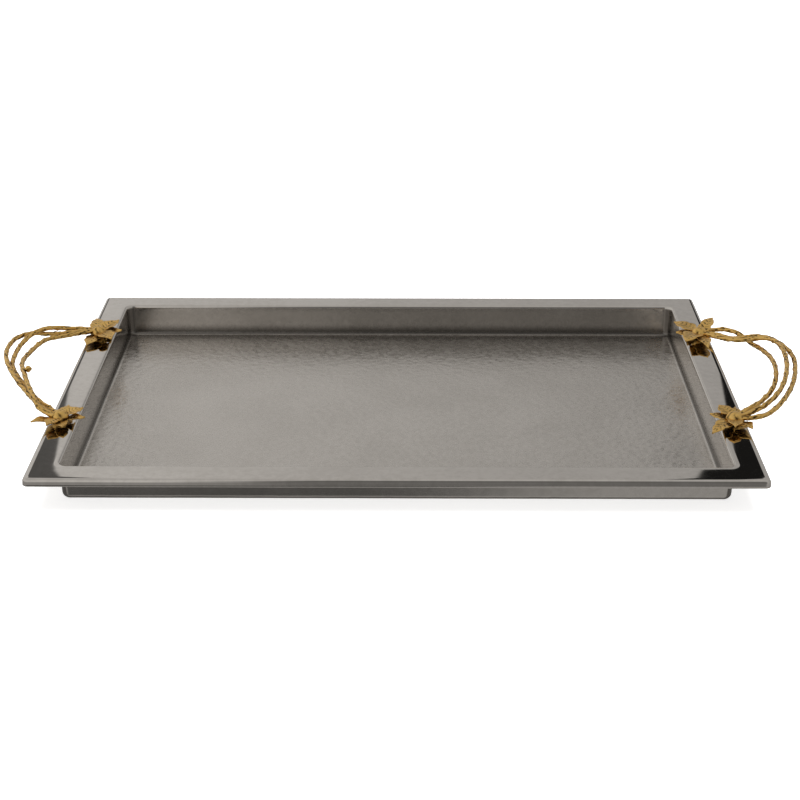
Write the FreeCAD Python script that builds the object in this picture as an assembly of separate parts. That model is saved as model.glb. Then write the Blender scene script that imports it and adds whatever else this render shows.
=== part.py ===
"""A two-handled serving tray: a pressed steel pan with a wide flat rim, and a brass vine handle at each end.

Millimetres, +Z up. X runs along the tray from the left handle to the right one, and Y runs across it,
from the front edge to the back edge. The origin is the centre of the flat base, on the table.

Each handle is three brass vines that wind round each other. Their ends are brazed into a knot at the
back and a knot at the front of the rim, small leaves are brazed round each knot, and a screw with a
washer comes up through the rim and holds each knot down.
"""

import FreeCAD
import Part
import math
import os

V = FreeCAD.Vector
UP = V(0, 0, 1)

# The pan, one pressed sheet: flat rim, turned-down lip, walls and floor
SHEET = 1.2
RIM_LENGTH = 490.0
RIM_WIDTH = 335.0
RIM_TOP = 26.0
RIM_CORNER = 4.0
LIP_DROP = 5.8
LIP_BEND = 2.6
WELL_INSET = 21.3  # from the rim's outer edge to the top of the inside wall
WELL_DRAFT = 0.4  # how much further in the wall stands at the floor
WELL_CORNER = 5.0
MOUTH_BEND = 2.4
FLOOR_BEND = 3.0

# Where a handle's two knots stand on the rim, and the screw that holds each one
KNOT_X = 236.0
KNOT_Y = 79.0
KNOT_FOOT_R = 5.0
KNOT_WAIST_R = 6.8
KNOT_WAIST_Z = 3.6
KNOT_SHOULDER_R = 4.8
KNOT_SHOULDER_Z = 7.2
KNOT_TOP_Z = 8.6
KNOT_FLAT_R = 1.6
SCREW_R = 1.97
SCREW_BORE_R = 2.0
SCREW_BORE_DEPTH = 4.6
SCREW_DEPTH = 4.2
RIM_HOLE_R = 2.25
HEAD_R = 3.6
HEAD_H = 2.2
WASHER_R = 4.4
WASHER_H = 0.8

VINE_R = 1.5
ARC_SHARE = 0.45  # of the shorter run beside a point, taken by that point's arc

LEAF_THICK = 1.2
LEAF_ARCH_R = 45.0  # radius of the arc along a leaf
LEAF_START_R = 3.0  # from the knot's axis to the leaf's hidden end

# Vine routes: (out from the tray's middle, along Y, up from the rim's top), back knot to front knot
VINES = {
    "left": {
        "outer_vine": [
            (239, 78.7, 4.8), (248, 77.6, 4.8), (262, 73.5, 5.0), (273, 68.5, 6.0), (284, 64, 9.2), (293, 49, 12.0),
            (296, 29, 12.0), (293, 8, 11.6), (285, -12, 10.8), (274, -34, 9.8), (260, -56, 8.2),
            (249, -74, 6.0), (239.5, -78.5, 4.8),
        ],
        "middle_vine": [
            (238.6, 80.5, 4.6), (248, 83.5, 5.0), (260, 79.5, 6.4), (271, 71, 10.8), (281, 61, 12.0),
            (289, 44, 8.5), (289, 24, 8.5), (288, 4, 8.0), (279, -17, 7.2), (267, -36, 4.8), (256, -54, 4.2),
            (244.5, -67, 4.4), (238.3, -76, 4.6),
        ],
        "inner_vine": [
            (238.3, 77, 5.4), (246.5, 72.3, 6.2), (262, 67, 4.8), (270, 60, 6.5), (275, 45, 8.5), (279, 22, 9.0),
            (279, -2, 12.0), (272, -24, 13.6), (265, -45, 13.2), (256.5, -64, 12.0), (250, -79, 8.6),
            (239.5, -81.5, 5.2),
        ],
    },
    "right": {
        "outer_vine": [
            (239, 78.8, 4.6), (248, 75.5, 4.6), (261, 66.5, 3.8), (272, 66, 6.6), (284, 60, 9.0), (292, 43, 10.5),
            (296, 14, 12.0), (291, -16, 12.0), (282, -44, 11.0), (268, -70, 9.0), (253, -85, 6.6),
            (239, -81, 4.8),
        ],
        "middle_vine": [
            (238.3, 77, 4.6), (246, 69, 4.8), (261, 57, 6.5), (273, 56, 8.6), (284, 52, 11.0), (289.5, 37, 13.0),
            (289, 12, 14.0), (285, -14, 14.0), (278, -38, 13.0), (267, -60, 11.0), (251, -76.5, 8.2),
            (239, -79, 5.2),
        ],
        "inner_vine": [
            (238.8, 80.4, 4.8), (248, 82.5, 5.6), (260, 78, 7.4), (269, 73, 4.0), (274, 61, 2.2),
            (278, 43, 5.5), (281, 14, 9.0), (277, -18, 9.5), (269, -42, 8.5), (256, -61, 7.0),
            (244, -70, 5.6), (238.3, -76.6, 4.6),
        ],
    },
}

# Leaves round each knot: (heading in plan, length, width, start height, rise). Heading 0 points into
# the tray and 90 to the back edge; rise is how many degrees the leaf lifts where it leaves the knot.
LOW = 1.0
HIGH = 3.6
LEAVES = {
    "left_back": [
        (12, 15, 12, LOW, 18), (52, 19, 12, HIGH, 20), (103, 25, 11, LOW, 22), (-103, 22, 11, LOW, 16),
        (-52, 18, 14, HIGH, 12),
    ],
    "left_front": [
        (-4, 15, 9, LOW, 18), (34, 15, 11, HIGH, 16), (80, 15, 10, LOW, 20), (-74, 15, 9, LOW, 18),
        (-110, 15, 10, HIGH, 12), (-152, 18, 9, LOW, 20),
    ],
    "right_back": [
        (-58, 24, 14, HIGH, 20), (5, 15, 13, LOW, 18), (46, 22, 13, HIGH, 18), (122, 24, 10, LOW, 30),
        (-95, 27, 10, LOW, 22),
    ],
    "right_front": [
        (-46, 25, 11, LOW, 16), (23, 15, 10, LOW, 18), (62, 16, 11, HIGH, 16), (-80, 16, 10, HIGH, 16),
        (-120, 16, 10, LOW, 18), (100, 17, 8, LOW, 16),
    ],
}

# The bud on the left handle's inner vine
BUD_AT = (271.22, -20.04, 14.05)  # where its stalk stands on the vine
STALK_R = 0.8
STALK_LENGTH = 0.9
BUD_LENGTH = 5.8  # with the stalk
BUD_R = 2.3
BUD_TIP_R = 0.4


def rounded_wire(length, width, corner, z):
    """A closed wire round a centred rectangle with round corners, at height z."""
    x = length / 2 - corner
    y = width / 2 - corner
    edges = []
    for quarter, (cx, cy) in enumerate(((x, y), (-x, y), (-x, -y), (x, -y))):
        centre = V(cx, cy, z)
        start, middle, end = (
            centre + V(math.cos(a), math.sin(a), 0) * corner
            for a in (math.radians(90 * quarter + step) for step in (0, 45, 90))
        )
        if edges:
            edges.append(Part.makeLine(edges[-1].Vertexes[-1].Point, start))
        edges.append(Part.Arc(start, middle, end).toShape())
    edges.append(Part.makeLine(edges[-1].Vertexes[-1].Point, edges[0].Vertexes[0].Point))
    return Part.Wire(edges)


def rounded_block(length, width, corner, low, high, flare=0.0):
    """A solid between two such wires. The top is larger than the bottom by flare on each side."""
    bottom = rounded_wire(length, width, corner, low)
    top = rounded_wire(length + 2 * flare, width + 2 * flare, corner + flare, high)
    return Part.makeLoft([bottom, top], True, True)


def edges_at(shape, z, length, width):
    """The edges at height z that lie within a centred rectangle, and reach close to its sides."""
    found = []
    for edge in shape.Edges:
        box = edge.BoundBox
        flat = abs(box.ZMin - z) < 1e-3 and abs(box.ZMax - z) < 1e-3
        inside = max(abs(box.XMin), abs(box.XMax)) < length / 2 + 0.01 and (
            max(abs(box.YMin), abs(box.YMax)) < width / 2 + 0.01
        )
        beside = max(abs(box.XMin), abs(box.XMax)) > length / 2 - 0.5 or (
            max(abs(box.YMin), abs(box.YMax)) > width / 2 - 0.5
        )
        if flat and inside and beside:
            found.append(edge)
    return found


def tray_pan():
    """The pan, with a screw hole under each knot."""
    mouth_length = RIM_LENGTH - 2 * WELL_INSET
    mouth_width = RIM_WIDTH - 2 * WELL_INSET
    floor_length = mouth_length - 2 * WELL_DRAFT
    floor_width = mouth_width - 2 * WELL_DRAFT

    plate = rounded_block(RIM_LENGTH, RIM_WIDTH, RIM_CORNER, RIM_TOP - LIP_DROP, RIM_TOP)
    plate = plate.makeFillet(LIP_BEND, edges_at(plate, RIM_TOP, RIM_LENGTH, RIM_WIDTH))
    hollow = rounded_block(
        RIM_LENGTH - 2 * SHEET, RIM_WIDTH - 2 * SHEET, RIM_CORNER - SHEET, RIM_TOP - LIP_DROP, RIM_TOP - SHEET
    )
    hollow = hollow.makeFillet(
        LIP_BEND - SHEET, edges_at(hollow, RIM_TOP - SHEET, RIM_LENGTH - 2 * SHEET, RIM_WIDTH - 2 * SHEET)
    )

    outside = rounded_block(
        floor_length + 2 * SHEET, floor_width + 2 * SHEET, WELL_CORNER + SHEET, 0, RIM_TOP, WELL_DRAFT
    )
    outside = outside.makeFillet(
        FLOOR_BEND + SHEET, edges_at(outside, 0, floor_length + 2 * SHEET, floor_width + 2 * SHEET)
    )
    inside = rounded_block(floor_length, floor_width, WELL_CORNER, SHEET, RIM_TOP, WELL_DRAFT)
    inside = inside.makeFillet(FLOOR_BEND, edges_at(inside, SHEET, floor_length, floor_width))

    pan = plate.cut(hollow).fuse(outside).removeSplitter().cut(inside)
    pan = pan.makeFillet(MOUTH_BEND, edges_at(pan, RIM_TOP, mouth_length, mouth_width))
    for x, y in knot_places():
        pan = pan.cut(Part.makeCylinder(RIM_HOLE_R, 3 * SHEET, V(x, y, RIM_TOP - 2 * SHEET)))
    return pan


def knot_places():
    return [(side * KNOT_X, end * KNOT_Y) for side in (-1, 1) for end in (1, -1)]


def knot(x, y):
    """A round burl with a flat foot on the rim, before its screw bore is drilled."""
    foot = V(KNOT_FOOT_R, 0, 0)
    waist = V(KNOT_WAIST_R, 0, KNOT_WAIST_Z)
    shoulder = V(KNOT_SHOULDER_R, 0, KNOT_SHOULDER_Z)
    flat = V(KNOT_FLAT_R, 0, KNOT_TOP_Z)
    crown = (shoulder + flat) / 2 + V(0.3, 0, 0.4)
    outline = Part.Wire([
        Part.makeLine(V(0, 0, 0), foot),
        Part.Arc(foot, waist, shoulder).toShape(),
        Part.Arc(shoulder, crown, flat).toShape(),
        Part.makeLine(flat, V(0, 0, KNOT_TOP_Z)),
        Part.makeLine(V(0, 0, KNOT_TOP_Z), V(0, 0, 0)),
    ])
    burl = Part.Face(outline).revolve(V(0, 0, 0), UP, 360)
    burl.translate(V(x, y, RIM_TOP))
    return burl


def drilled(burl, x, y):
    return burl.cut(Part.makeCylinder(SCREW_BORE_R, SCREW_BORE_DEPTH, V(x, y, RIM_TOP)))


def tangent_path(points):
    """A wire of straight runs joined by tangent arcs, and its smallest arc radius."""
    runs = [b - a for a, b in zip(points, points[1:])]
    edges = []
    radii = []
    last = points[0]
    for point, before, after in zip(points[1:], runs, runs[1:]):
        reach = ARC_SHARE * min(before.Length, after.Length)
        turn = before.getAngle(after)
        radii.append(reach / math.tan(turn / 2))
        into = V(before).normalize()
        out = V(after).normalize()
        start = point - into * reach
        end = point + out * reach
        centre = point + (out - into).normalize() * (radii[-1] / math.cos(turn / 2))
        middle = centre + (point - centre).normalize() * radii[-1]
        edges.append(Part.LineSegment(last, start).toShape())
        edges.append(Part.Arc(start, middle, end).toShape())
        last = end
    edges.append(Part.LineSegment(last, points[-1]).toShape())
    return Part.Wire(edges), min(radii)


def vine(name, side, route):
    """One vine of a handle. side is -1 for the left handle and 1 for the right one."""
    points = [V(side * out, along, RIM_TOP + up) for out, along, up in route]
    path, tightest = tangent_path(points)
    section = Part.Wire(Part.makeCircle(VINE_R, points[0], points[1] - points[0]))
    tube = path.makePipeShell([section], True, False)
    expected = math.pi * VINE_R**2 * path.Length
    print(f"{name}: length {path.Length:.1f}, tightest arc {tightest:.1f}, volume {tube.Volume / expected:.4f}")
    return tube


def leaf(length, width, rise):
    """A pointed leaf along +X from the origin, arched along its length, starting rise degrees up."""
    sides = []
    for turn in (1, -1):
        curve = Part.BezierCurve()
        curve.setPoles([
            V(0, 0, 0), V(0.2 * length, turn * 0.8 * width, 0), V(0.65 * length, turn * 0.55 * width, 0),
            V(length, 0, 0),
        ])
        sides.append(curve.toShape())
    blank = Part.Face(Part.Wire(Part.sortEdges(sides)[0])).extrude(V(0, 0, 2 * LEAF_ARCH_R))
    blank.translate(V(0, 0, -LEAF_ARCH_R))
    lean = math.radians(rise)
    centre = V(LEAF_ARCH_R * math.sin(lean), -width, -LEAF_ARCH_R * math.cos(lean))
    across = V(0, 1, 0)
    shell = Part.makeCylinder(LEAF_ARCH_R + LEAF_THICK, 2 * width, centre, across).cut(
        Part.makeCylinder(LEAF_ARCH_R, 2 * width, centre, across)
    )
    return largest(blank.common(shell), "ZMax")


def largest(shape, key="ZMax"):
    """The solid of a shape that reaches highest, or has the most of another measure."""
    return max(shape.Solids, key=lambda s: s.Volume if key == "Volume" else getattr(s.BoundBox, key))


def placed_leaf(side, end, heading, length, width, up, rise):
    """A leaf of the knot at that side and end, with its hidden end inside the knot."""
    blade = leaf(length, width, rise)
    plan = heading if side < 0 else 180 - heading
    blade.rotate(V(0, 0, 0), UP, plan)
    direction = V(math.cos(math.radians(plan)), math.sin(math.radians(plan)), 0)
    blade.translate(V(side * KNOT_X, end * KNOT_Y, RIM_TOP + up) + direction * LEAF_START_R)
    return blade


def handle(name, side):
    """All the brass of one handle, as {node: solid}. Vines and leaves end on the face of a knot."""
    burls = {end: knot(side * KNOT_X, end * KNOT_Y) for end in (1, -1)}
    made = {}
    for kind, route in VINES[name].items():
        tube = vine(f"{name}_{kind}", side, route)
        for burl in burls.values():
            tube = tube.cut(burl)
        made[f"{name}_{kind}"] = largest(tube, "Volume")
    for place, end in (("back", 1), ("front", -1)):
        made[f"{name}_{place}_knot"] = drilled(burls[end], side * KNOT_X, end * KNOT_Y)
        for number, shape in enumerate(LEAVES[f"{name}_{place}"], 1):
            blade = placed_leaf(side, end, *shape).cut(burls[end])
            made[f"{name}_{place}_leaf_{number}"] = largest(blade, "Volume")
    return made


def bud():
    """A plump bud on a short stalk. It stands on the left handle's inner vine and points to the tray."""
    out, along, up = BUD_AT
    neck = V(STALK_LENGTH, STALK_R, 0)
    tip = V(BUD_LENGTH, BUD_TIP_R, 0)
    belly = V((STALK_LENGTH + BUD_LENGTH) / 2, BUD_R, 0)
    outline = Part.Wire([
        Part.makeLine(V(0, 0, 0), V(0, STALK_R, 0)),
        Part.makeLine(V(0, STALK_R, 0), neck),
        Part.Arc(neck, belly, tip).toShape(),
        Part.makeLine(tip, V(BUD_LENGTH, 0, 0)),
        Part.makeLine(V(BUD_LENGTH, 0, 0), V(0, 0, 0)),
    ])
    body = Part.Face(outline).revolve(V(0, 0, 0), V(1, 0, 0), 360)
    body.rotate(V(0, 0, 0), V(0, 1, 0), -20)
    body.rotate(V(0, 0, 0), UP, -25)
    body.translate(V(-out, along, RIM_TOP + up))
    return body.Solids[0]


def screws():
    """The four screws, each with its head under the washer and its shank up in a knot."""
    head_top = RIM_TOP - SHEET - WASHER_H
    made = []
    for x, y in knot_places():
        head = Part.makeCylinder(HEAD_R, HEAD_H, V(x, y, head_top - HEAD_H))
        head = head.makeFillet(0.9, [e for e in head.Edges if abs(e.BoundBox.ZMax - head_top + HEAD_H) < 1e-3])
        slot = Part.makeBox(2 * HEAD_R, 0.9, 1.0, V(x - HEAD_R, y - 0.45, head_top - HEAD_H - 0.001))
        shank = Part.makeCylinder(SCREW_R, RIM_TOP + SCREW_DEPTH - head_top, V(x, y, head_top))
        made.append(head.cut(slot).fuse(shank).removeSplitter())
    return Part.makeCompound([s.Solids[0] for s in made])


def washers():
    made = []
    for x, y in knot_places():
        low = V(x, y, RIM_TOP - SHEET - WASHER_H)
        made.append(Part.makeCylinder(WASHER_R, WASHER_H, low).cut(Part.makeCylinder(RIM_HOLE_R, WASHER_H, low)))
    return Part.makeCompound([w.Solids[0] for w in made])


def main():
    nodes = {"tray_pan": tray_pan(), "handle_screws": screws(), "handle_washers": washers()}
    for name, side in (("left", -1), ("right", 1)):
        nodes.update(handle(name, side))
    nodes["left_bud"] = bud()
    os.makedirs("parts", exist_ok=True)
    for name, shape in nodes.items():
        if not shape.isValid() or not shape.Solids:
            raise SystemExit(f"{name} isn't a valid solid")
        shape.exportStep(os.path.join("parts", name + ".step"))


main()
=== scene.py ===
"""Looks of the two-handled serving tray: polished and hammered steel, with antique brass vine handles.

Metres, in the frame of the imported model: +X to the right handle, +Y to the back edge, +Z up, origin at
the centre of the base. Lengths below that end in _MM are millimetres.
"""

import math

import bmesh
import bpy
from mathutils import Matrix, Vector, noise


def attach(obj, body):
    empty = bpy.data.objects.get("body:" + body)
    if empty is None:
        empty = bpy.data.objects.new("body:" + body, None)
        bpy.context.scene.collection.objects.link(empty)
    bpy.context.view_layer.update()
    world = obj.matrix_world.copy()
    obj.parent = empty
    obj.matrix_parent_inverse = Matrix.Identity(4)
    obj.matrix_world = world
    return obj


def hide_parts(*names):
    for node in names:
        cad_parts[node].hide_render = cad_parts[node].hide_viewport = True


MM = 0.001
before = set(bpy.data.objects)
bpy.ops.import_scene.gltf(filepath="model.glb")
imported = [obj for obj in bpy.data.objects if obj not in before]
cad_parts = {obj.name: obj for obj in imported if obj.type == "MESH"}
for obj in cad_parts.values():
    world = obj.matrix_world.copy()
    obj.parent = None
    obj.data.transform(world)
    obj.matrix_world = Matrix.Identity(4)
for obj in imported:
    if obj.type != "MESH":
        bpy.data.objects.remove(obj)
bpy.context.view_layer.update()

# The pan, as the CAD has it
RIM_LENGTH_MM = 490.0
RIM_WIDTH_MM = 335.0
RIM_TOP_MM = 26.0
RIM_CORNER_MM = 4.0
SHEET_MM = 1.2
LIP_DROP_MM = 5.8
LIP_BEND_MM = 2.6
WELL_INSET_MM = 21.3
WELL_DRAFT_MM = 0.4
WELL_CORNER_MM = 5.0
MOUTH_BEND_MM = 2.4
FLOOR_BEND_MM = 3.0
RIM_CROWN_MM = 0.17  # how far the flat rim droops from the mouth to the lip
LIP_FLARE_MM = 0.15  # how far the lip spreads from its bend to its lower edge

# How finely the pan is divided: steps along the length and the width, between corner bisectors
LONG_STEPS = 196
SHORT_STEPS = 128
CORNER_STEPS = 8

# Unevenness that planishing by hand leaves in the sheet
DENT_DEPTH_MM = 0.05
DENT_SPACING_MM = 9.0
SWELL_DEPTH_MM = 0.14
SWELL_SPACING_MM = 60.0
RIM_SWELL_SHARE = 0.2  # of the swells, left on the rim
# The next number sets how dark the painted shade is along the foot and in the corners of the well.
PAINTED_SHADE_STRENGTH = 0.85  # how far the steel darkens along the foot and in the corners of the well

# The handles. Places are the CAD's; the bark makes a vine a little thicker than the CAD's tube
KNOT_X_MM = 236.0
KNOT_Y_MM = 79.0
VINE_R_MM = 1.72
VINE_STEP_MM = 0.8
VINE_SIDES = 18
LEAF_ROWS = 34
LEAF_COLUMNS = 16
KNOT_PROFILE_MM = [
    (5.0, 0.0), (6.1, 1.3), (6.8, 3.6), (6.2, 5.6), (4.8, 7.2), (3.4, 8.3), (1.6, 8.6), (0.0, 8.6),
]
LOW = 1.0
HIGH = 3.6
LEAF_THICK_MM = 1.2
LEAF_ARCH_R_MM = 45.0
LEAF_START_R_MM = 3.0
BUD_AT_MM = (271.22, -20.04, 14.05)
BUD_PROFILE_MM = [(1.1, -0.4), (0.95, 0.4), (2.1, 0.9), (2.5, 2.2), (1.7, 3.9), (0.7, 5.2), (0.0, 5.9)]

# Vine routes: (out from the tray's middle, along Y, up from the rim's top), back knot to front knot
VINES = {
    "left": {
        "outer_vine": [
            (239, 78.7, 4.8), (248, 77.6, 4.8), (262, 73.5, 5.0), (273, 68.5, 6.0), (284, 64, 9.2),
            (293, 49, 12.0), (296, 29, 12.0), (293, 8, 11.6), (285, -12, 10.8), (274, -34, 9.8),
            (260, -56, 8.2), (249, -74, 6.0), (239.5, -78.5, 4.8),
        ],
        "middle_vine": [
            (238.6, 80.5, 4.6), (248, 83.5, 5.0), (260, 79.5, 6.4), (271, 71, 10.8), (281, 61, 12.0),
            (289, 44, 8.5), (289, 24, 8.5), (288, 4, 8.0), (279, -17, 7.2), (267, -36, 4.8),
            (256, -54, 4.2), (244.5, -67, 4.4), (238.3, -76, 4.6),
        ],
        "inner_vine": [
            (238.3, 77, 5.4), (246.5, 72.3, 6.2), (262, 67, 4.8), (270, 60, 6.5), (275, 45, 8.5),
            (279, 22, 9.0), (279, -2, 12.0), (272, -24, 13.6), (265, -45, 13.2), (256.5, -64, 12.0),
            (250, -79, 8.6), (239.5, -81.5, 5.2),
        ],
    },
    "right": {
        "outer_vine": [
            (239, 78.8, 4.6), (248, 75.5, 4.6), (261, 66.5, 3.8), (272, 66, 6.6), (284, 60, 9.0),
            (292, 43, 10.5), (296, 14, 12.0), (291, -16, 12.0), (282, -44, 11.0), (268, -70, 9.0),
            (253, -85, 6.6), (239, -81, 4.8),
        ],
        "middle_vine": [
            (238.3, 77, 4.6), (246, 69, 4.8), (261, 57, 6.5), (273, 56, 8.6), (284, 52, 11.0),
            (289.5, 37, 13.0), (289, 12, 14.0), (285, -14, 14.0), (278, -38, 13.0), (267, -60, 11.0),
            (251, -76.5, 8.2), (239, -79, 5.2),
        ],
        "inner_vine": [
            (238.8, 80.4, 4.8), (248, 82.5, 5.6), (260, 78, 7.4), (269, 73, 4.0), (274, 61, 2.2),
            (278, 43, 5.5), (281, 14, 9.0), (277, -18, 9.5), (269, -42, 8.5), (256, -61, 7.0),
            (244, -70, 5.6), (238.3, -76.6, 4.6),
        ],
    },
}

# Leaves round each knot: (heading in plan, length, width, start height, rise). Heading 0 points into
# the tray and 90 to the back edge; rise is how many degrees the leaf lifts where it leaves the knot.
LEAVES = {
    "left_back": [
        (12, 15, 12, LOW, 18), (52, 19, 12, HIGH, 20), (103, 25, 11, LOW, 22), (-103, 22, 11, LOW, 16),
        (-52, 18, 14, HIGH, 12),
    ],
    "left_front": [
        (-4, 15, 9, LOW, 18), (34, 15, 11, HIGH, 16), (80, 15, 10, LOW, 20), (-74, 15, 9, LOW, 18),
        (-110, 15, 10, HIGH, 12), (-152, 18, 9, LOW, 20),
    ],
    "right_back": [
        (-58, 24, 14, HIGH, 20), (5, 15, 13, LOW, 18), (46, 22, 13, HIGH, 18), (122, 24, 10, LOW, 30),
        (-95, 27, 10, LOW, 22),
    ],
    "right_front": [
        (-46, 25, 11, LOW, 16), (23, 15, 10, LOW, 18), (62, 16, 11, HIGH, 16), (-80, 16, 10, HIGH, 16),
        (-120, 16, 10, LOW, 18), (100, 17, 8, LOW, 16),
    ],
}


# ---------------------------------------------------------------- meshes

def add_object(name, verts, faces, relief=None):
    """A mesh object from points in metres. relief is one number per point: 0 in a recess, 1 on a ridge."""
    mesh = bpy.data.meshes.new(name)
    mesh.from_pydata([tuple(v) for v in verts], [], faces)
    mesh.validate()
    shaped = bmesh.new()
    shaped.from_mesh(mesh)
    bmesh.ops.recalc_face_normals(shaped, faces=shaped.faces)
    shaped.to_mesh(mesh)
    shaped.free()
    mesh.polygons.foreach_set("use_smooth", [True] * len(mesh.polygons))
    if relief is not None:
        layer = mesh.attributes.new("relief", "FLOAT", "POINT")
        layer.data.foreach_set("value", relief)
    obj = bpy.data.objects.new(name, mesh)
    bpy.context.scene.collection.objects.link(obj)
    return obj


def sweep(samples, sides, radius_at):
    """Rings of points round a line of samples, and the faces between them, closed at both ends.

    radius_at(distance, angle) gives (radius, relief) in the samples' own unit.
    """
    rings = []
    relief = []
    tangent = (samples[1] - samples[0]).normalized()
    across = tangent.orthogonal().normalized()
    distance = 0.0
    for i, point in enumerate(samples):
        ahead = samples[min(i + 1, len(samples) - 1)] - samples[max(i - 1, 0)]
        turned = ahead.normalized()
        across = (across - turned * across.dot(turned)).normalized()
        other = turned.cross(across)
        if i:
            distance += (point - samples[i - 1]).length
        for k in range(sides):
            angle = 2 * math.pi * k / sides
            radius, high = radius_at(distance, angle)
            rings.append(point + (across * math.cos(angle) + other * math.sin(angle)) * radius)
            relief.append(high)
    faces = []
    for i in range(len(samples) - 1):
        for k in range(sides):
            a = i * sides + k
            b = i * sides + (k + 1) % sides
            faces.append((a, b, b + sides, a + sides))
    faces.append(tuple(reversed(range(sides))))
    faces.append(tuple(range((len(samples) - 1) * sides, len(samples) * sides)))
    return rings, faces, relief


# ---------------------------------------------------------------- pan

def side_fractions(steps):
    """Where a ring's points lie along one side, from one corner bisector to the next.

    Each is (kind, degrees round the corner's centre, share of the straight run).
    """
    half = CORNER_STEPS // 2
    runs = steps - CORNER_STEPS
    arc_in = [("arc_in", 225 + 45 * k / half, 0.0) for k in range(half)]
    run = [("run", 0.0, k / runs) for k in range(runs + 1)]
    arc_out = [("arc_out", 270 + 45 * k / half, 1.0) for k in range(1, half + 1)]
    return arc_in + run + arc_out


def ring(inset, z, corner):
    """One closed loop of the pan, in millimetres, anticlockwise from the front left corner's bisector."""
    x = RIM_LENGTH_MM / 2 - inset
    y = RIM_WIDTH_MM / 2 - inset
    points = []
    for turn, (along, out, steps) in enumerate(
        ((x, y, LONG_STEPS), (y, x, SHORT_STEPS), (x, y, LONG_STEPS), (y, x, SHORT_STEPS))
    ):
        quarter = Matrix.Rotation(math.radians(90 * turn), 3, "Z")
        for kind, degrees, share in side_fractions(steps)[:-1]:
            a = math.radians(degrees)
            if kind == "run":
                local = Vector((-along + corner + 2 * (along - corner) * share, -out, z))
            else:
                centre = corner - along if kind == "arc_in" else along - corner
                local = Vector((centre + corner * math.cos(a), -out + corner + corner * math.sin(a), z))
            points.append(quarter @ local)
    return points


def bend(steps):
    """Angles from 0 to 90 degrees in radians, both ends included."""
    return [math.radians(90 * k / steps) for k in range(steps + 1)]


def top_rings():
    """(inset, z, corner radius) of each loop from the lip's lower edge to the edge of the flat floor."""
    lip_z = RIM_TOP_MM - LIP_DROP_MM
    rows = [(0.35, lip_z, RIM_CORNER_MM - 0.35), (0.0, lip_z + 0.35, RIM_CORNER_MM)]
    rows.append((LIP_FLARE_MM / 2, lip_z + 1.6, RIM_CORNER_MM - LIP_FLARE_MM / 2))
    for a in bend(5):
        step = LIP_FLARE_MM + (LIP_BEND_MM - LIP_FLARE_MM) * (1 - math.cos(a))
        z = RIM_TOP_MM - RIM_CROWN_MM - LIP_BEND_MM * (1 - math.sin(a))
        rows.append((step, z, RIM_CORNER_MM - step))
    flat_start = LIP_BEND_MM
    flat_end = WELL_INSET_MM - MOUTH_BEND_MM
    lip_corner = RIM_CORNER_MM - LIP_BEND_MM
    mouth_corner = WELL_CORNER_MM + WELL_DRAFT_MM + MOUTH_BEND_MM
    for k in range(1, 9):
        t = k / 9
        rows.append((
            flat_start + (flat_end - flat_start) * t, RIM_TOP_MM - RIM_CROWN_MM * (1 - t) ** 2,
            lip_corner + (mouth_corner - lip_corner) * t,
        ))
    for a in bend(6):
        step = MOUTH_BEND_MM * math.sin(a)
        rows.append((flat_end + step, RIM_TOP_MM - MOUTH_BEND_MM * (1 - math.cos(a)), mouth_corner - step))
    wall_foot = SHEET_MM + FLOOR_BEND_MM
    wall_head = RIM_TOP_MM - MOUTH_BEND_MM
    for k in range(1, 8):
        z = wall_head + (wall_foot - wall_head) * k / 7
        lean = WELL_DRAFT_MM * (RIM_TOP_MM - z) / RIM_TOP_MM
        rows.append((WELL_INSET_MM + lean, z, WELL_CORNER_MM + WELL_DRAFT_MM - lean))
    foot_inset, _, foot_corner = rows[-1]
    for a in bend(7)[1:]:
        step = FLOOR_BEND_MM * (1 - math.cos(a))
        rows.append((foot_inset + step, wall_foot - FLOOR_BEND_MM * math.sin(a), foot_corner - step))
    return rows


def under_rings():
    """The same for the underside, from the edge of the flat base back out to the lip's lower edge."""
    radius = FLOOR_BEND_MM + SHEET_MM
    wall = WELL_INSET_MM + WELL_DRAFT_MM - SHEET_MM
    corner = WELL_CORNER_MM + SHEET_MM
    rows = []
    for a in bend(6):
        step = radius * math.sin(a)
        rows.append((wall + radius - step, radius * (1 - math.cos(a)), corner - radius + step))
    under = RIM_TOP_MM - SHEET_MM
    for z in (12.5, 18.5, under - 0.5):
        lean = WELL_DRAFT_MM * z / RIM_TOP_MM
        rows.append((wall - lean, z, corner + lean))
    rows.append((wall - WELL_DRAFT_MM - 0.5, under, corner + WELL_DRAFT_MM + 0.5))
    inner_corner = RIM_CORNER_MM - LIP_BEND_MM
    start = rows[-1]
    for k in (1, 2, 3):
        t = k / 4
        rows.append((
            start[0] + (LIP_BEND_MM - start[0]) * t, under, start[2] + (inner_corner - start[2]) * t,
        ))
    inner = LIP_BEND_MM - SHEET_MM
    for a in bend(3):
        step = inner * math.sin(a)
        rows.append((LIP_BEND_MM - step, under - inner * (1 - math.cos(a)), inner_corner + step))
    lip_z = RIM_TOP_MM - LIP_DROP_MM
    rows.append((SHEET_MM, lip_z + 0.35, RIM_CORNER_MM - SHEET_MM))
    rows.append((SHEET_MM - 0.35, lip_z, RIM_CORNER_MM - SHEET_MM + 0.35))
    return rows


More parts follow.
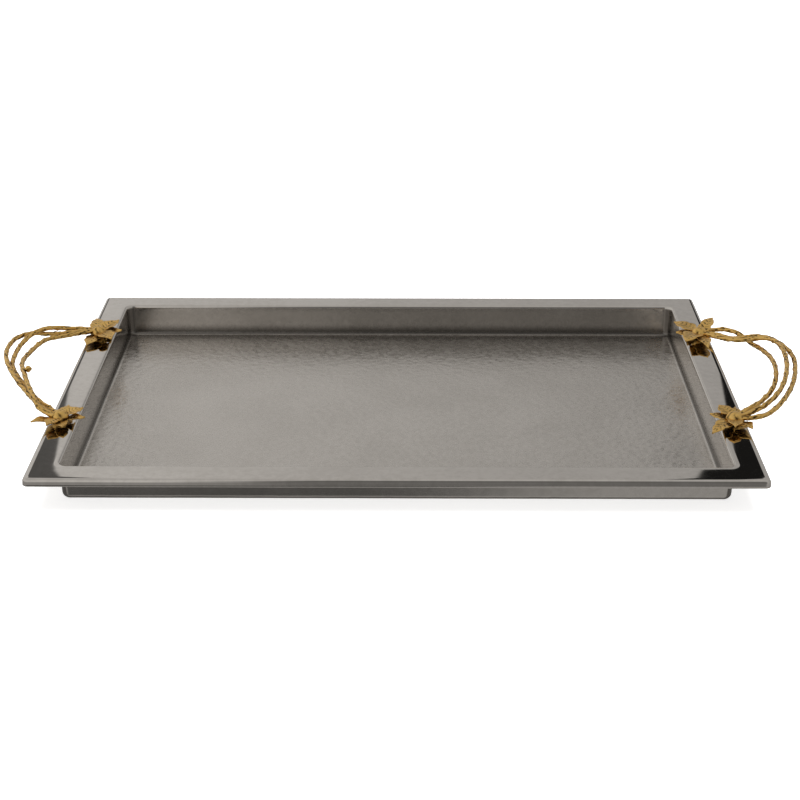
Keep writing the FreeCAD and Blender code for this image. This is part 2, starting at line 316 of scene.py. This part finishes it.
def patch(loop, verts, faces, flip):
    """Fills a loop with a grid, using a Coons patch between its four sides."""
    n, m = LONG_STEPS, SHORT_STEPS
    base = len(verts) - len(loop)
    index = {}
    for i in range(n + 1):
        index[i, 0] = base + i
        index[i, m] = base + (n + m + n - i) % len(loop)
    for j in range(m + 1):
        index[n, j] = base + n + j
        index[0, j] = base + (n + m + n + m - j) % len(loop)
    corner = {(i, j): verts[index[i, j]] for i in (0, n) for j in (0, m)}
    for i in range(1, n):
        for j in range(1, m):
            u, v = i / n, j / m
            point = (
                (1 - v) * verts[index[i, 0]] + v * verts[index[i, m]]
                + (1 - u) * verts[index[0, j]] + u * verts[index[n, j]]
                - (1 - u) * (1 - v) * corner[0, 0] - u * (1 - v) * corner[n, 0]
                - (1 - u) * v * corner[0, m] - u * v * corner[n, m]
            )
            index[i, j] = len(verts)
            verts.append(point)
    for i in range(n):
        for j in range(m):
            face = (index[i, j], index[i + 1, j], index[i + 1, j + 1], index[i, j + 1])
            faces.append(face[::-1] if flip else face)


def bridge(first, second, count, faces):
    """Faces between two loops of count points, which start at these indices."""
    for k in range(count):
        after = (k + 1) % count
        faces.append((first + k, first + after, second + after, second + k))


def planished(point):
    """How deep the hammer has left the sheet at a point in millimetres: slow swells and round dents."""
    on_rim = min(1.0, max(0.0, (point.z - RIM_TOP_MM + 3.0) / 2.0))
    swell = noise.noise(point / SWELL_SPACING_MM) * 0.5 + 0.5
    nearest = noise.voronoi(point / DENT_SPACING_MM)[0][0]
    on_floor = min(1.0, max(0.0, 3.0 - point.z / 1.5))
    dent = max(0.0, 1.0 - (nearest / 0.62) ** 2) * on_floor
    return SWELL_DEPTH_MM * swell * (1.0 - (1.0 - RIM_SWELL_SHARE) * on_rim) + DENT_DEPTH_MM * dent


def make_pan():
    """The pan as one closed sheet, pushed inwards along its normals by the planishing."""
    count = 2 * (LONG_STEPS + SHORT_STEPS)
    verts = []
    faces = []
    starts = []
    for inset, z, corner in top_rings():
        starts.append(len(verts))
        verts.extend(ring(inset, z, corner))
    loop = verts[-count:]
    patch(loop, verts, faces, False)
    under = []
    first = None
    for inset, z, corner in under_rings():
        under.append(len(verts))
        verts.extend(ring(inset, z, corner))
        if first is None:
            first = under[0]
            patch(verts[-count:], verts, faces, True)
    order = starts[::-1]
    for a, b in zip(order, order[1:]):
        bridge(a, b, count, faces)
    for a, b in zip(under, under[1:]):
        bridge(a, b, count, faces)
    bridge(under[-1], starts[0], count, faces)
    pan = add_object("tray_pan_steel", [v * MM for v in verts], faces)
    normals = [v.normal.copy() for v in pan.data.vertices]
    for vertex, normal in zip(pan.data.vertices, normals):
        vertex.co -= normal * planished(vertex.co / MM) * MM
    return pan


# ---------------------------------------------------------------- handles

def in_row(side, out, along, up):
    """A handle point as a position in millimetres. side is -1 for the left handle and 1 for the right."""
    return Vector((side * out, along, RIM_TOP_MM + up))


def smooth_line(points, step):
    """Even samples along the quadratic B-spline that has these control points."""
    dense = [points[0]]
    joints = [points[0]] + [(a + b) / 2 for a, b in zip(points[1:], points[2:-1])] + [points[-1]]
    for control, start, end in zip(points[1:-1], joints, joints[1:]):
        for k in range(1, 25):
            t = k / 24
            dense.append(start * (1 - t) ** 2 + control * (2 * t * (1 - t)) + end * t * t)
    total = sum((b - a).length for a, b in zip(dense, dense[1:]))
    count = max(2, round(total / step))
    even = [dense[0]]
    walked = 0.0
    for a, b in zip(dense, dense[1:]):
        run = (b - a).length
        while len(even) < count and walked + run >= total * len(even) / count:
            even.append(a.lerp(b, (total * len(even) / count - walked) / run))
        walked += run
    even.append(dense[-1])
    return even


def vine_surface(seed):
    """A radius function for a cast vine: twisting bark ridges, swollen joints and uneven thickness."""
    spacing = 15.0 + 3.0 * math.sin(seed * 1.7)

    def radius_at(distance, angle):
        twist = angle + 0.16 * distance + seed
        ridges = 0.5 + 0.5 * math.sin(3 * twist + 0.8 * math.sin(distance * 0.31 + seed))
        ridges = ridges ** 0.7
        around = Vector((math.cos(angle) * 1.3, math.sin(angle) * 1.3, distance * 0.45 + 20 * seed))
        rough = noise.noise(around)
        along = (distance + 7.0 * noise.noise(Vector((seed, 0.5, distance / 60)))) % spacing
        knob = math.exp(-(((along - spacing / 2) / 1.4) ** 2))
        lopsided = 0.6 + 0.4 * math.cos(angle - seed * 2.1 - distance * 0.05)
        high = 0.32 * (ridges - 0.62) + 0.30 * rough + 0.45 * knob * lopsided
        shine = 0.12 + 0.75 * ridges + 0.9 * rough - 0.1 * knob
        return VINE_R_MM + high, min(1.0, max(0.0, shine))

    return radius_at


def make_vine(name, side, route, seed):
    """One vine of a handle, swept along its route."""
    line = smooth_line([in_row(side, *p) for p in route], VINE_STEP_MM)
    verts, faces, relief = sweep(line, VINE_SIDES, vine_surface(seed))
    return add_object(name, [v * MM for v in verts], faces, relief)


def leaf_point(length, width, rise, t, v, top, seed):
    """A point of a leaf, t from stalk to tip and v from -1 to 1 across, and its relief."""
    x = length * (0.6 * t * (1 - t) ** 2 + 1.95 * t * t * (1 - t) + t**3)
    half = width * (2.4 * t * (1 - t) ** 2 + 1.65 * t * t * (1 - t))
    lobe = abs(math.sin(math.pi * (t * 2.6 + 0.15 * seed))) ** 0.6
    notch = 0.80 + 0.32 * lobe * min(1.0, 6 * t) * min(1.0, 4 * (1 - t))
    lean = math.radians(rise)
    reach = x - LEAF_ARCH_R_MM * math.sin(lean)
    arch = math.sqrt(LEAF_ARCH_R_MM**2 - reach**2) - LEAF_ARCH_R_MM * math.cos(lean)
    y = v * half * notch
    rib = math.exp(-((v * half / 0.42) ** 2))
    vein_phase = (t * 7.0 - abs(v) * 1.1) % 1.0
    vein = math.exp(-(((vein_phase - 0.5) / 0.13) ** 2)) * (1 - abs(v)) ** 0.3 * min(1.0, 5 * (1 - t))
    cup = 1.1 * v * v * half / 4.5
    wave = 0.35 * math.sin(7.0 * t + 3.0 * v + seed) * abs(v)
    thick = 0.45 + 0.75 * (1 - v * v)
    mid = arch + LEAF_THICK_MM / 2 + cup * 0.6 + wave
    if top:
        z = mid + thick / 2 + 0.25 * rib - 0.22 * vein
        shine = 0.55 + 0.45 * rib - 0.75 * vein + 0.35 * abs(v) ** 3 - 0.25 * (1 - t) ** 3
    else:
        z = mid - thick / 2
        shine = 0.4
    return Vector((x, y, z)), min(1.0, max(0.0, shine))


def make_leaf(name, side, end, shape, seed):
    """A leaf of the knot at that side and end: a top, an underside and the edge between them."""
    heading, length, width, up, rise = shape
    plan = math.radians(heading if side < 0 else 180 - heading)
    place = in_row(side, KNOT_X_MM, end * KNOT_Y_MM, up)
    place += Vector((math.cos(plan), math.sin(plan), 0)) * LEAF_START_R_MM
    turn = Matrix.Rotation(plan, 3, "Z")
    verts = []
    relief = []
    for top in (True, False):
        for i in range(LEAF_ROWS + 1):
            t = 0.012 + 0.98 * i / LEAF_ROWS
            for j in range(LEAF_COLUMNS + 1):
                point, shine = leaf_point(length, width, rise, t, 2 * j / LEAF_COLUMNS - 1, top, seed)
                verts.append((place + turn @ point) * MM)
                relief.append(shine)
    faces = []
    row = LEAF_COLUMNS + 1
    under = (LEAF_ROWS + 1) * row
    for i in range(LEAF_ROWS):
        for j in range(LEAF_COLUMNS):
            a = i * row + j
            faces.append((a, a + 1, a + row + 1, a + row))
            faces.append((under + a, under + a + row, under + a + row + 1, under + a + 1))
    for i in range(LEAF_ROWS):
        for j in (0, LEAF_COLUMNS):
            a = i * row + j
            quad = (a, a + row, under + a + row, under + a)
            faces.append(quad if j == 0 else quad[::-1])
    for i in (0, LEAF_ROWS):
        for j in range(LEAF_COLUMNS):
            a = i * row + j
            quad = (a, under + a, under + a + 1, a + 1)
            faces.append(quad if i == 0 else quad[::-1])
    return add_object(name, verts, faces, relief)


def turned(profile, steps, sides, bump):
    """Points, faces and relief of a solid of revolution about +Z, roughened by bump(point, angle)."""
    outline = smooth_line([Vector((r, 0, z)) for r, z in profile], steps)[:-1]
    verts = []
    relief = []
    for point in outline:
        for k in range(sides):
            a = 2 * math.pi * k / sides
            spot = Vector((point.x * math.cos(a), point.x * math.sin(a), point.z))
            push, high = bump(spot, a)
            verts.append(spot + Vector((math.cos(a), math.sin(a), 0.3)) * push)
            relief.append(high)
    faces = []
    for i in range(len(outline) - 1):
        for k in range(sides):
            a = i * sides + k
            b = i * sides + (k + 1) % sides
            faces.append((a, b, b + sides, a + sides))
    faces.append(tuple(range(sides))[::-1])
    faces.append(tuple(range((len(outline) - 1) * sides, len(outline) * sides)))
    return verts, faces, relief


def make_knot(name, side, end, seed):
    """A folded burl that stands on the rim."""
    def bump(spot, angle):
        inward = min(1.0, spot.z / 1.2)
        folds = 0.5 + 0.5 * math.sin(5 * angle + spot.z * 0.9 + seed)
        rough = noise.noise(spot * 0.45 + Vector((seed * 7, 0, 0)))
        push = inward * (0.30 * (folds - 1.0) + 0.25 * rough - 0.1)
        return push, min(1.0, max(0.0, 0.25 + 0.6 * folds + 0.5 * rough))

    verts, faces, relief = turned(KNOT_PROFILE_MM, 0.45, 40, bump)
    place = in_row(side, KNOT_X_MM, end * KNOT_Y_MM, 0)
    return add_object(name, [(v + place) * MM for v in verts], faces, relief)


def make_bud():
    """The bud with its stalk, which points from the left handle's inner vine towards the tray."""
    out, along, up = BUD_AT_MM

    def bump(spot, angle):
        scale = 0.5 + 0.5 * math.cos(3 * angle + spot.z * 0.7)
        return 0.25 * (scale - 0.8) * min(1.0, spot.x), 0.2 + 0.8 * scale

    verts, faces, relief = turned(BUD_PROFILE_MM, 0.3, 28, bump)
    turn = Matrix.Rotation(math.radians(-25), 3, "Z") @ Matrix.Rotation(math.radians(70), 3, "Y")
    place = in_row(-1, out, along, up)
    return add_object("left_bud_brass", [(turn @ v + place) * MM for v in verts], faces, relief)


# ---------------------------------------------------------------- materials

def new_material(name):
    material = bpy.data.materials.new(name)
    material.use_nodes = True
    tree = material.node_tree
    return material, tree, tree.nodes["Principled BSDF"]


def add(tree, kind, **inputs):
    """A node with its inputs set by name, or by number after an underscore."""
    node = tree.nodes.new(kind)
    for key, value in inputs.items():
        socket = node.inputs[int(key[1:])] if key[0] == "_" else node.inputs[key.replace("_", " ")]
        if isinstance(value, bpy.types.NodeSocket):
            tree.links.new(value, socket)
        else:
            socket.default_value = value
    return node


def math_node(tree, operation, *values, clamp=False):
    node = add(tree, "ShaderNodeMath", **{f"_{i}": v for i, v in enumerate(values)})
    node.operation = operation
    node.use_clamp = clamp
    return node.outputs[0]


def span(tree, value, low, high, out_low=0.0, out_high=1.0):
    """Eases from out_low to out_high as value goes from low to high."""
    node = add(
        tree, "ShaderNodeMapRange", Value=value, From_Min=low, From_Max=high,
        To_Min=out_low, To_Max=out_high,
    )
    node.interpolation_type = "SMOOTHSTEP"
    return node.outputs[0]


def noise_at(tree, place, **settings):
    return add(tree, "ShaderNodeTexNoise", Vector=place, **settings).outputs["Fac"]


def blend(tree, factor, first, second):
    """A mix of two colours: the first where factor is 0 and the second where it is 1."""
    node = tree.nodes.new("ShaderNodeMix")
    node.data_type = "RGBA"
    for socket, value in ((0, factor), (6, first), (7, second)):
        if isinstance(value, bpy.types.NodeSocket):
            tree.links.new(value, node.inputs[socket])
        else:
            node.inputs[socket].default_value = value if socket == 0 else (*value, 1.0)
    return node.outputs[2]


def near_end(tree, position, length):
    """1 in the last few millimetres before a well wall of the pan, which is length long over the rim."""
    wall = (length / 2 - WELL_INSET_MM) * MM
    return span(tree, math_node(tree, "ABSOLUTE", position), wall - 7 * MM, wall - 3 * MM)


def within(tree, position, length):
    """1 on the inside of the well's walls and 0 on their outside."""
    wall = (length / 2 - WELL_INSET_MM) * MM
    return span(tree, math_node(tree, "ABSOLUTE", position), wall + 0.2 * MM, wall + 0.6 * MM, 1.0, 0.0)


def steel_material():
    """Polished rim and walls, satin hammered floor, and painted shade along the foot and in the vertical
    corners of the well.
    """
    material, tree, shader = new_material("tray_steel")
    place = add(tree, "ShaderNodeTexCoord").outputs["Object"]
    along, across, height = add(tree, "ShaderNodeSeparateXYZ", Vector=place).outputs
    satin = span(tree, height, 1.6 * MM, 3.4 * MM, 1.0, 0.0)
    grain = noise_at(tree, place, Scale=190.0, Detail=5.0, Roughness=0.65)
    cloud = noise_at(tree, place, Scale=16.0, Detail=3.0)
    speck = noise_at(tree, place, Scale=900.0, Detail=2.0)
    tone = math_node(tree, "ADD", grain, math_node(tree, "MULTIPLY", cloud, 0.8))
    tone = span(tree, tone, 0.65, 1.15)
    colour = blend(tree, tone, (0.63, 0.598, 0.558), (0.71, 0.676, 0.635))
    # Painted shade: the steel's colour is darkened along the foot of the walls and in the well's vertical
    # corners, on the inside only.
    foot = math_node(
        tree, "MULTIPLY", span(tree, height, 1.25 * MM, 1.7 * MM),
        span(tree, height, 3.0 * MM, 11.0 * MM, 1.0, 0.0),
    )
    corner_shade = math_node(
        tree, "MULTIPLY", near_end(tree, along, RIM_LENGTH_MM), near_end(tree, across, RIM_WIDTH_MM)
    )
    corner_shade = math_node(tree, "MULTIPLY", corner_shade, span(tree, height, 23 * MM, 25 * MM, 1.0, 0.0))
    painted_shade = math_node(tree, "MAXIMUM", foot, corner_shade)
    inside = math_node(
        tree, "MULTIPLY", within(tree, along, RIM_LENGTH_MM), within(tree, across, RIM_WIDTH_MM)
    )
    painted_shade = math_node(tree, "MULTIPLY", painted_shade, inside)
    # The near-black colour mixed in here is the painted shade, laid over the steel's own tone.
    colour = blend(tree, math_node(tree, "MULTIPLY", painted_shade, PAINTED_SHADE_STRENGTH), colour, (0.09, 0.08, 0.07))
    tree.links.new(colour, shader.inputs["Base Color"])
    rough_floor = span(tree, grain, 0.3, 0.7, 0.23, 0.33)
    wall = span(tree, height, 20 * MM, 24 * MM, 0.15, 0.0)
    rough_rim = math_node(tree, "ADD", span(tree, cloud, 0.3, 0.7, 0.02, 0.045), wall)
    mixed = math_node(
        tree, "ADD", math_node(tree, "MULTIPLY", satin, rough_floor),
        math_node(tree, "MULTIPLY", math_node(tree, "SUBTRACT", 1.0, satin), rough_rim),
    )
    tree.links.new(mixed, shader.inputs["Roughness"])
    shader.inputs["Metallic"].default_value = 1.0
    cells = add(tree, "ShaderNodeTexVoronoi", Vector=place, Scale=230.0)
    cells.feature = "SMOOTH_F1"
    cells.inputs["Smoothness"].default_value = 0.7
    marks = math_node(
        tree, "ADD", math_node(tree, "MULTIPLY", cells.outputs["Distance"], 0.8),
        math_node(tree, "MULTIPLY", speck, 0.15),
    )
    strength = math_node(tree, "MULTIPLY", satin, 0.16)
    bump = add(tree, "ShaderNodeBump", Strength=strength, Distance=1.2 * MM, Height=marks)
    tree.links.new(bump.outputs["Normal"], shader.inputs["Normal"])
    return material


def brass_material():
    """Antique brass: rubbed bright on the ridges, brown to black patina in the recesses, with painted
    shade where nearby parts crowd it.
    """
    material, tree, shader = new_material("antique_brass")
    place = add(tree, "ShaderNodeTexCoord").outputs["Object"]
    relief = add(tree, "ShaderNodeAttribute")
    relief.attribute_name = "relief"
    # The ambient occlusion darkens the brass where nearby parts crowd it. This is partly the patina in its
    # hollows and partly painted shade under the leaves and between the parts.
    patina_and_shade = add(tree, "ShaderNodeAmbientOcclusion", Distance=6 * MM)
    patina_and_shade.samples = 8
    mottle = noise_at(tree, place, Scale=330.0, Detail=5.0, Roughness=0.65)
    cloud = noise_at(tree, place, Scale=90.0, Detail=3.0)
    rub = math_node(tree, "ADD", relief.outputs["Fac"], math_node(tree, "MULTIPLY", mottle, 1.3))
    rub = math_node(tree, "ADD", rub, math_node(tree, "MULTIPLY", cloud, 0.9))
    rub = math_node(tree, "ADD", rub, math_node(tree, "MULTIPLY", patina_and_shade.outputs["AO"], 0.45))
    bright = span(tree, rub, 1.42, 2.05)
    warm = blend(tree, cloud, (0.86, 0.52, 0.14), (0.93, 0.62, 0.21))
    colour = blend(tree, bright, (0.08, 0.042, 0.012), warm)
    tree.links.new(colour, shader.inputs["Base Color"])
    tree.links.new(span(tree, bright, 0.0, 1.0, 0.48, 0.28), shader.inputs["Roughness"])
    shader.inputs["Metallic"].default_value = 1.0
    pits = noise_at(tree, place, Scale=1400.0, Detail=3.0)
    bump = add(tree, "ShaderNodeBump", Strength=0.35, Distance=0.3 * MM, Height=pits)
    tree.links.new(bump.outputs["Normal"], shader.inputs["Normal"])
    return material


def fixing_material():
    """Turned steel of the screws and washers, with fine tool marks and a little dullness."""
    material, tree, shader = new_material("fixing_steel")
    place = add(tree, "ShaderNodeTexCoord").outputs["Object"]
    dull = noise_at(tree, place, Scale=400.0, Detail=3.0)
    tree.links.new(blend(tree, dull, (0.42, 0.41, 0.40), (0.60, 0.59, 0.57)), shader.inputs["Base Color"])
    tree.links.new(span(tree, dull, 0.3, 0.7, 0.25, 0.42), shader.inputs["Roughness"])
    shader.inputs["Metallic"].default_value = 1.0
    lines = noise_at(tree, place, Scale=2500.0, Detail=1.0)
    bump = add(tree, "ShaderNodeBump", Strength=0.2, Distance=0.1 * MM, Height=lines)
    tree.links.new(bump.outputs["Normal"], shader.inputs["Normal"])
    return material


def dress(obj, material, slot, *nodes):
    """Gives a piece its material, and puts it in the place of its CAD nodes."""
    obj.data.materials.clear()
    obj.data.materials.append(material)
    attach(obj, "root")
    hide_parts(*nodes)


def build_object():
    steel = steel_material()
    brass = brass_material()
    fixing = fixing_material()
    dress(make_pan(), steel, "steel", "tray_pan")
    for number, (name, side) in enumerate((("left", -1), ("right", 1))):
        for seed, (kind, route) in enumerate(VINES[name].items(), 1 + 3 * number):
            node = f"{name}_{kind}"
            dress(make_vine(node + "_brass", side, route, seed), brass, "antique_brass", node)
        for place, end in (("back", 1), ("front", -1)):
            node = f"{name}_{place}_knot"
            dress(make_knot(node + "_brass", side, end, number * 2 + end), brass, "antique_brass", node)
            for count, shape in enumerate(LEAVES[f"{name}_{place}"], 1):
                node = f"{name}_{place}_leaf_{count}"
                blade = make_leaf(node + "_brass", side, end, shape, count + number)
                dress(blade, brass, "antique_brass", node)
    dress(make_bud(), brass, "antique_brass", "left_bud")
    for name in ("handle_screws", "handle_washers"):
        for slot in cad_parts[name].material_slots:
            slot.material = fixing


# ---------------------------------------------------------------- studio

FLOOR_SIZE = 14.0
BACKDROP_RADIUS = 9.0
TOP_LIGHT_SIZE = 2.6
TOP_LIGHT_HEIGHT = 2.3
TOP_LIGHT_WATTS = 60.0


def make_floor():
    bpy.ops.mesh.primitive_plane_add(size=FLOOR_SIZE, location=(0, 0, 0))
    floor = bpy.context.object
    floor.name = "studio_floor"
    material, tree, shader = new_material("studio_floor")
    place = add(tree, "ShaderNodeTexCoord").outputs["Object"]
    cloud = noise_at(tree, place, Scale=3.0, Detail=2.0)
    colour = blend(tree, cloud, (0.93, 0.93, 0.93), (0.95, 0.95, 0.95))
    tree.links.new(colour, shader.inputs["Base Color"])
    shader.inputs["Roughness"].default_value = 0.9
    shader.inputs["Specular IOR Level"].default_value = 0.0
    shader.inputs["Emission Color"].default_value = (1, 1, 1, 1)
    shader.inputs["Emission Strength"].default_value = 0.72
    floor.data.materials.append(material)
    floor.visible_glossy = False


def make_backdrop():
    """A white dome that only the camera sees."""
    bpy.ops.mesh.primitive_uv_sphere_add(segments=64, ring_count=32, radius=BACKDROP_RADIUS)
    dome = bpy.context.object
    dome.name = "studio_backdrop"
    material = bpy.data.materials.new("studio_backdrop")
    material.use_nodes = True
    tree = material.node_tree
    tree.nodes.clear()
    glow = add(tree, "ShaderNodeEmission", Color=(1.0, 1.0, 1.0, 1.0), Strength=1.0)
    out = tree.nodes.new("ShaderNodeOutputMaterial")
    tree.links.new(glow.outputs[0], out.inputs["Surface"])
    dome.data.materials.append(material)
    dome.visible_glossy = False
    dome.visible_diffuse = False
    dome.visible_shadow = False
    dome.visible_transmission = False


def make_world():
    """A studio: pale behind and above, a dark flag beyond each end, a dark card on the camera's side."""
    world = bpy.data.worlds.new("studio")
    bpy.context.scene.world = world
    world.use_nodes = True
    tree = world.node_tree
    tree.nodes.clear()
    axes = add(tree, "ShaderNodeSeparateXYZ", Vector=add(tree, "ShaderNodeTexCoord").outputs["Generated"])
    x, y, z = axes.outputs
    turn = math_node(tree, "ARCTAN2", x, y)
    lift = math_node(tree, "ARCSINE", z)
    deg = math.radians

    def times(first, second):
        return math_node(tree, "MULTIPLY", first, second)

    def dimmed(level, mask, target):
        """level where mask is 0, target where it is 1."""
        kept = times(level, math_node(tree, "SUBTRACT", 1.0, mask))
        return math_node(tree, "ADD", kept, times(mask, target))

    def window(value, low, high, soft):
        """1 between low and high degrees, 0 outside them."""
        rise = span(tree, value, deg(low - soft), deg(low + soft))
        fall = span(tree, value, deg(high - soft), deg(high + soft), 1.0, 0.0)
        return times(rise, fall)

    sky = span(tree, turn, deg(-16), deg(8), 0.60, 0.43)
    overhead = span(tree, lift, deg(38), deg(70))
    sky = dimmed(sky, overhead, 0.50)
    front = math_node(tree, "ADD", window(turn, 150, 200, 8), window(turn, -200, -173, 3), clamp=True)
    front = times(front, window(lift, -6, 62, 8))
    sky = dimmed(sky, front, 0.16)
    steep = times(span(tree, lift, deg(26.3), deg(26.8)), deg(1.2))
    right = window(math_node(tree, "ADD", turn, steep), 12.55, 15.5, 0.1)
    left = window(turn, -16.5, -13.65, 0.12)
    band = window(lift, 8, 42, 4)
    sky = dimmed(sky, times(right, band), 0.012)
    sky = dimmed(sky, times(left, band), 0.10)
    ground = dimmed(0.30, window(turn, 60, 176, 2), 0.36)
    near = math_node(tree, "ADD", window(turn, 176, 200, 1), window(turn, -200, -140, 4))
    ground = dimmed(ground, times(near, window(lift, -48, -25.2, 1.8)), 0.085)
    middle = math_node(tree, "ADD", window(turn, 160, 200, 4), window(turn, -200, -174, 3), clamp=True)
    ground = dimmed(ground, times(middle, span(tree, lift, deg(-25.5), deg(-23.5))), 0.17)
    below = span(tree, lift, deg(-8), deg(0), 1.0, 0.0)
    level = dimmed(sky, below, ground)
    background = add(tree, "ShaderNodeBackground", Color=(1.0, 0.98, 0.955, 1.0), Strength=level)
    out = tree.nodes.new("ShaderNodeOutputWorld")
    tree.links.new(background.outputs[0], out.inputs["Surface"])


def make_lights():
    """A broad soft light overhead. It shines on the floor, and is kept out of reflections."""
    light = bpy.data.lights.new("top_softbox", "AREA")
    light.shape = "SQUARE"
    light.size = TOP_LIGHT_SIZE
    light.energy = TOP_LIGHT_WATTS
    lamp = bpy.data.objects.new("top_softbox", light)
    lamp.location = (0, 0.2, TOP_LIGHT_HEIGHT)
    lamp.visible_glossy = False
    bpy.context.scene.collection.objects.link(lamp)


def make_camera():
    data = bpy.data.cameras.new("camera")
    data.sensor_width = 36.0
    data.lens = 73.92
    camera = bpy.data.objects.new("camera", data)
    camera.location = (0.00781, -1.1194, 0.51493)
    camera.rotation_euler = (math.radians(65.611), 0.0, math.radians(0.3205))
    bpy.context.scene.collection.objects.link(camera)
    bpy.context.scene.camera = camera


build_object()
make_floor()
make_backdrop()
make_world()
make_lights()
make_camera()
bpy.context.scene.view_settings.view_transform = "Standard"
bpy.context.scene.view_settings.look = "None"

bpy.context.view_layer.update()
